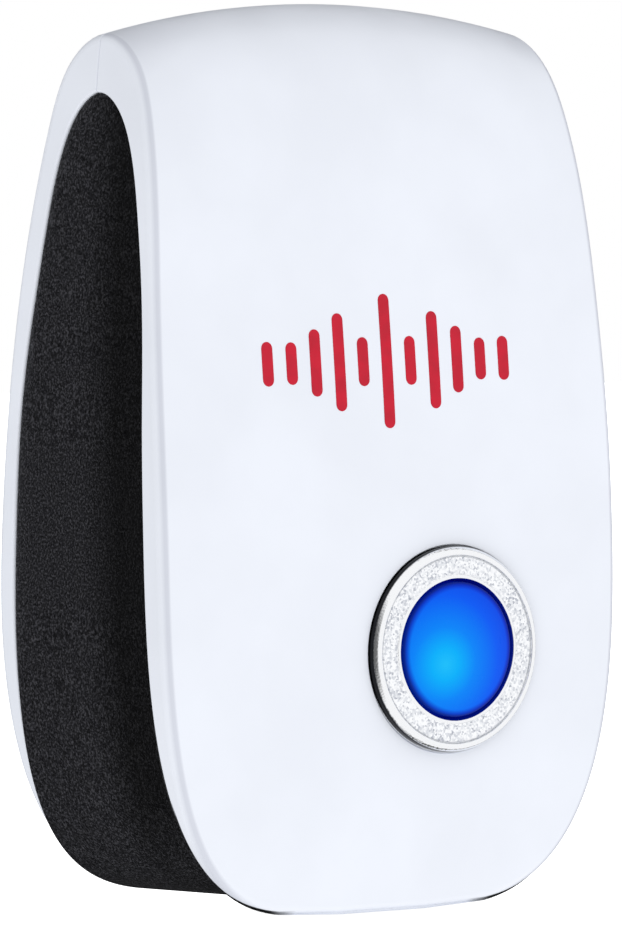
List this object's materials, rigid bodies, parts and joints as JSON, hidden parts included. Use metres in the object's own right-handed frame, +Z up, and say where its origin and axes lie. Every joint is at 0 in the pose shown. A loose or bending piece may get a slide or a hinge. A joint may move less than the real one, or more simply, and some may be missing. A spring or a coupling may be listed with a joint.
{
  "type": "ultrasonic pest repeller",
  "caption": "Wall-plug ultrasonic pest repeller: arched white two-shell casing, black wrap-round side band, silver bezel with a lit blue push button, flat-blade plug behind.",
  "frame": {"origin": "centre of the plug engagement face, the plane that meets the wall socket", "axes": "+Z up along the casing height, +X right seen from the front, +Y into the wall along the blades"},
  "size_m": [0.0638, 0.0531, 0.1018],
  "materials": {
    "white_shell": "smooth moulded gloss",
    "black_band": "fine pitted grain, satin",
    "silver_trim": "plated, glitter-grained face with polished rims",
    "zinc_steel": "zinc plated",
    "blue_lens": "translucent, lit from behind",
    "light_guide": "clear",
    "black_part": "moulded",
    "circuit_board": "solder-masked laminate",
    "led_body": "clear epoxy",
    "ceramic_tan": "ceramic",
    "film_yellow": "moulded box",
    "capacitor_sleeve": "shrink sleeve",
    "fuse_body": "lacquer",
    "varistor_blue": "dipped epoxy",
    "ferrite": "sintered",
    "copper_winding": "enamelled wire",
    "aluminium_can": "drawn",
    "gasket_rubber": "soft",
    "wire_red": "insulation",
    "plug_white": "moulded",
    "brass_blade": "nickel plated brass",
    "wire_brown": "insulation",
    "wire_blue": "insulation"
  },
  "bodies": {
    "housing": {"front_cover": "white_shell", "rear_cover": "white_shell", "side_band": "black_band", "bezel_ring": "silver_trim", "bezel_clip": "zinc_steel", "tact_switch_body": "black_part", "main_board": "circuit_board", "board_screws": "zinc_steel", "blue_leds": "led_body", "controller_chip": "black_part", "chip_resistors": "black_part", "chip_capacitors": "ceramic_tan", "drive_transistors": "black_part", "bridge_rectifier": "black_part", "film_capacitor": "film_yellow", "electrolytic_capacitor": "capacitor_sleeve", "fuse_resistor": "fuse_body", "varistor": "varistor_blue", "transformer_core": "ferrite", "transformer_winding": "copper_winding", "transducer_can": "aluminium_can", "transducer_diaphragm": "aluminium_can", "transducer_gasket": "gasket_rubber", "transducer_wires": "wire_red", "plug_base": "plug_white", "line_blade": "brass_blade", "neutral_blade": "brass_blade", "plug_screws": "zinc_steel", "line_wire": "wire_brown", "neutral_wire": "wire_blue", "case_screws": "zinc_steel"},
    "button": {"lens_button": "blue_lens", "button_stem": "light_guide", "tact_switch_plunger": "black_part"}
  },
  "joints": [
    {"name": "button_press", "type": "slide", "parent": "housing", "child": "button", "axis": [0, 0.9995, 0.0314], "range_m": [0, 0.0008], "stiffness_N_per_m": 1500, "springref_m": -0.0006}
  ]
}
